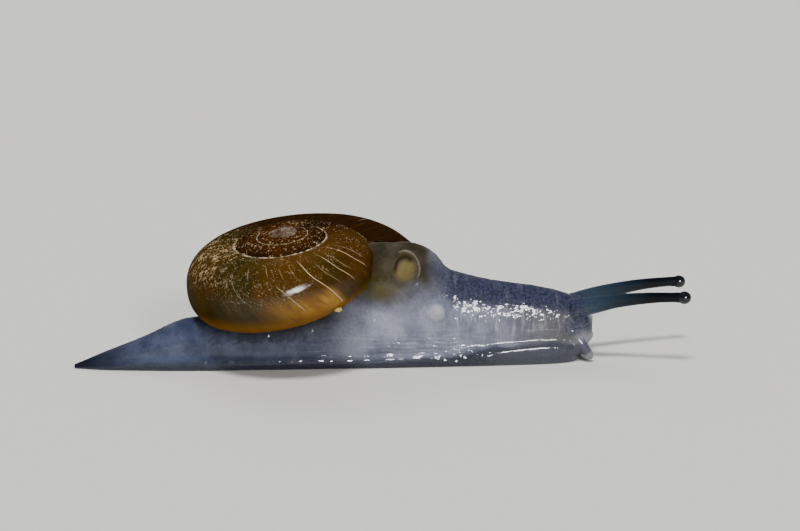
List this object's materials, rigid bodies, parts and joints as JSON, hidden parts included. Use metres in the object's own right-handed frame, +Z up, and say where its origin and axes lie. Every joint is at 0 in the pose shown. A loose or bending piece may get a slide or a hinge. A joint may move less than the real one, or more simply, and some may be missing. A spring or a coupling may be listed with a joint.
{
  "type": "glass snail",
  "caption": "Life-size still model of a dark-bodied glass snail crawling: low amber coiled shell, slate-blue body, eye stalks out.",
  "frame": {"origin": "middle of the whole animal's outline seen from above, on the surface that the sole rests on", "axes": "+X is the way the snail crawls, from tail to head; +Y is its left side; +Z is up"},
  "size_m": [0.0362, 0.0124, 0.0081],
  "materials": {
    "shell": "glossy translucent amber horn",
    "mantle": "wet grey-brown skin",
    "pale_skin": "wet pale blue-grey skin",
    "slate_skin": "wet slate-blue skin",
    "foot": "glossy wet foot edge",
    "tentacle": "smooth navy skin",
    "tentacle_tip": "smooth pale grey skin",
    "eye": "glossy black"
  },
  "bodies": {
    "root": {"shell": "shell", "mantle_collar": "mantle", "flank": "pale_skin", "neck": "pale_skin", "head": "pale_skin", "tail": "slate_skin", "foot_middle": "foot", "foot_front": "foot", "upper_tentacle_left": "tentacle", "upper_tentacle_right": "tentacle", "lower_tentacle_left": "tentacle_tip", "lower_tentacle_right": "tentacle_tip", "eye_left": "eye", "eye_right": "eye"}
  },
  "joints": []
}
